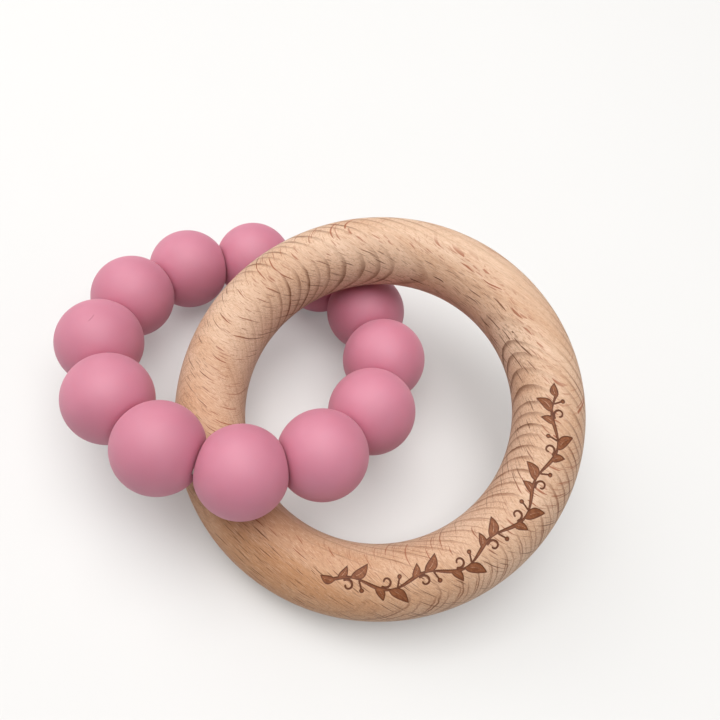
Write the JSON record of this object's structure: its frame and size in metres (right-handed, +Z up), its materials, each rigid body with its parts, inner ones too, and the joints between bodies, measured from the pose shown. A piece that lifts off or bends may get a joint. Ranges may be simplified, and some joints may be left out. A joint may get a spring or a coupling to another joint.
{
  "type": "teething ring",
  "caption": "Teething toy: a plain round wooden ring linked through a closed loop of round silicone beads strung on a hidden cord.",
  "frame": {"origin": "middle of the footprint of the whole assembly at rest, on the surface it lies on", "axes": "+Z up from the surface, +X from the middle of the bead loop to the middle of the wooden ring, +Y to the left of that"},
  "size_m": [0.093, 0.0678, 0.0307],
  "materials": {
    "silicone": "matte",
    "beech": "sanded and oiled",
    "cord": "braided nylon"
  },
  "bodies": {
    "cord": {"cord_loop": "cord", "cord_knot": "cord"},
    "bead_01": {"silicone_bead_01": "silicone"},
    "bead_02": {"silicone_bead_02": "silicone"},
    "bead_03": {"silicone_bead_03": "silicone"},
    "bead_04": {"silicone_bead_04": "silicone"},
    "bead_05": {"silicone_bead_05": "silicone"},
    "bead_06": {"silicone_bead_06": "silicone"},
    "bead_07": {"silicone_bead_07": "silicone"},
    "bead_08": {"silicone_bead_08": "silicone"},
    "bead_09": {"silicone_bead_09": "silicone"},
    "bead_10": {"silicone_bead_10": "silicone"},
    "bead_11": {"silicone_bead_11": "silicone"},
    "bead_12": {"silicone_bead_12": "silicone"},
    "wood_ring": {"wood_ring": "beech"}
  },
  "joints": [
    {"name": "bead_01_spin", "type": "hinge", "parent": "cord", "child": "bead_01", "pos_m": [-0.02809, -0.02107, 0.01827], "axis": [0.8449, -0.5045, 0.178], "continuous": true},
    {"name": "bead_02_spin", "type": "hinge", "parent": "cord", "child": "bead_02", "pos_m": [-0.01571, -0.02549, 0.02015], "axis": [0.9839, -0.1489, 0.0985], "continuous": true},
    {"name": "bead_04_spin", "type": "hinge", "parent": "cord", "child": "bead_04", "pos_m": [0.00727, -0.01405, 0.01875], "axis": [0.4978, 0.8485, -0.1793], "continuous": true},
    {"name": "bead_05_spin", "type": "hinge", "parent": "cord", "child": "bead_05", "pos_m": [0.0108, -0.00155, 0.01587], "axis": [0.0157, 0.9707, -0.2398], "continuous": true},
    {"name": "bead_06_spin", "type": "hinge", "parent": "cord", "child": "bead_06", "pos_m": [0.00805, 0.01104, 0.01257], "axis": [-0.4193, 0.8747, -0.2432], "continuous": true},
    {"name": "bead_07_spin", "type": "hinge", "parent": "cord", "child": "bead_07", "pos_m": [0.00012, 0.02126, 0.00954], "axis": [-0.7484, 0.6313, -0.2034], "continuous": true},
    {"name": "bead_08_spin", "type": "hinge", "parent": "cord", "child": "bead_08", "pos_m": [-0.01225, 0.02631, 0.00751], "axis": [-0.9934, 0.0797, -0.082], "continuous": true},
    {"name": "bead_09_spin", "type": "hinge", "parent": "cord", "child": "bead_09", "pos_m": [-0.02545, 0.02303, 0.0075], "axis": [-0.8407, -0.5355, 0.0802], "continuous": true},
    {"name": "bead_10_spin", "type": "hinge", "parent": "cord", "child": "bead_10", "pos_m": [-0.03473, 0.01367, 0.00924], "axis": [-0.5189, -0.8367, 0.1751], "continuous": true},
    {"name": "bead_11_spin", "type": "hinge", "parent": "cord", "child": "bead_11", "pos_m": [-0.03897, 0.00138, 0.01203], "axis": [-0.1036, -0.9669, 0.2333], "continuous": true},
    {"name": "bead_12_spin", "type": "hinge", "parent": "cord", "child": "bead_12", "pos_m": [-0.03688, -0.01134, 0.01531], "axis": [0.4066, -0.8805, 0.2439], "continuous": true},
    {"name": "ring_swing", "type": "hinge", "parent": "cord", "child": "bead_03", "pos_m": [-0.00233, -0.02321, 0.02042], "axis": [0.8822, 0.467, -0.0606], "range_deg": [0, 70]},
    {"name": "ring_turn", "type": "hinge", "parent": "bead_03", "child": "wood_ring", "pos_m": [0.01116, 0, 0.01533], "axis": [-0.0525, -0.3109, 0.949], "continuous": true}
  ]
}
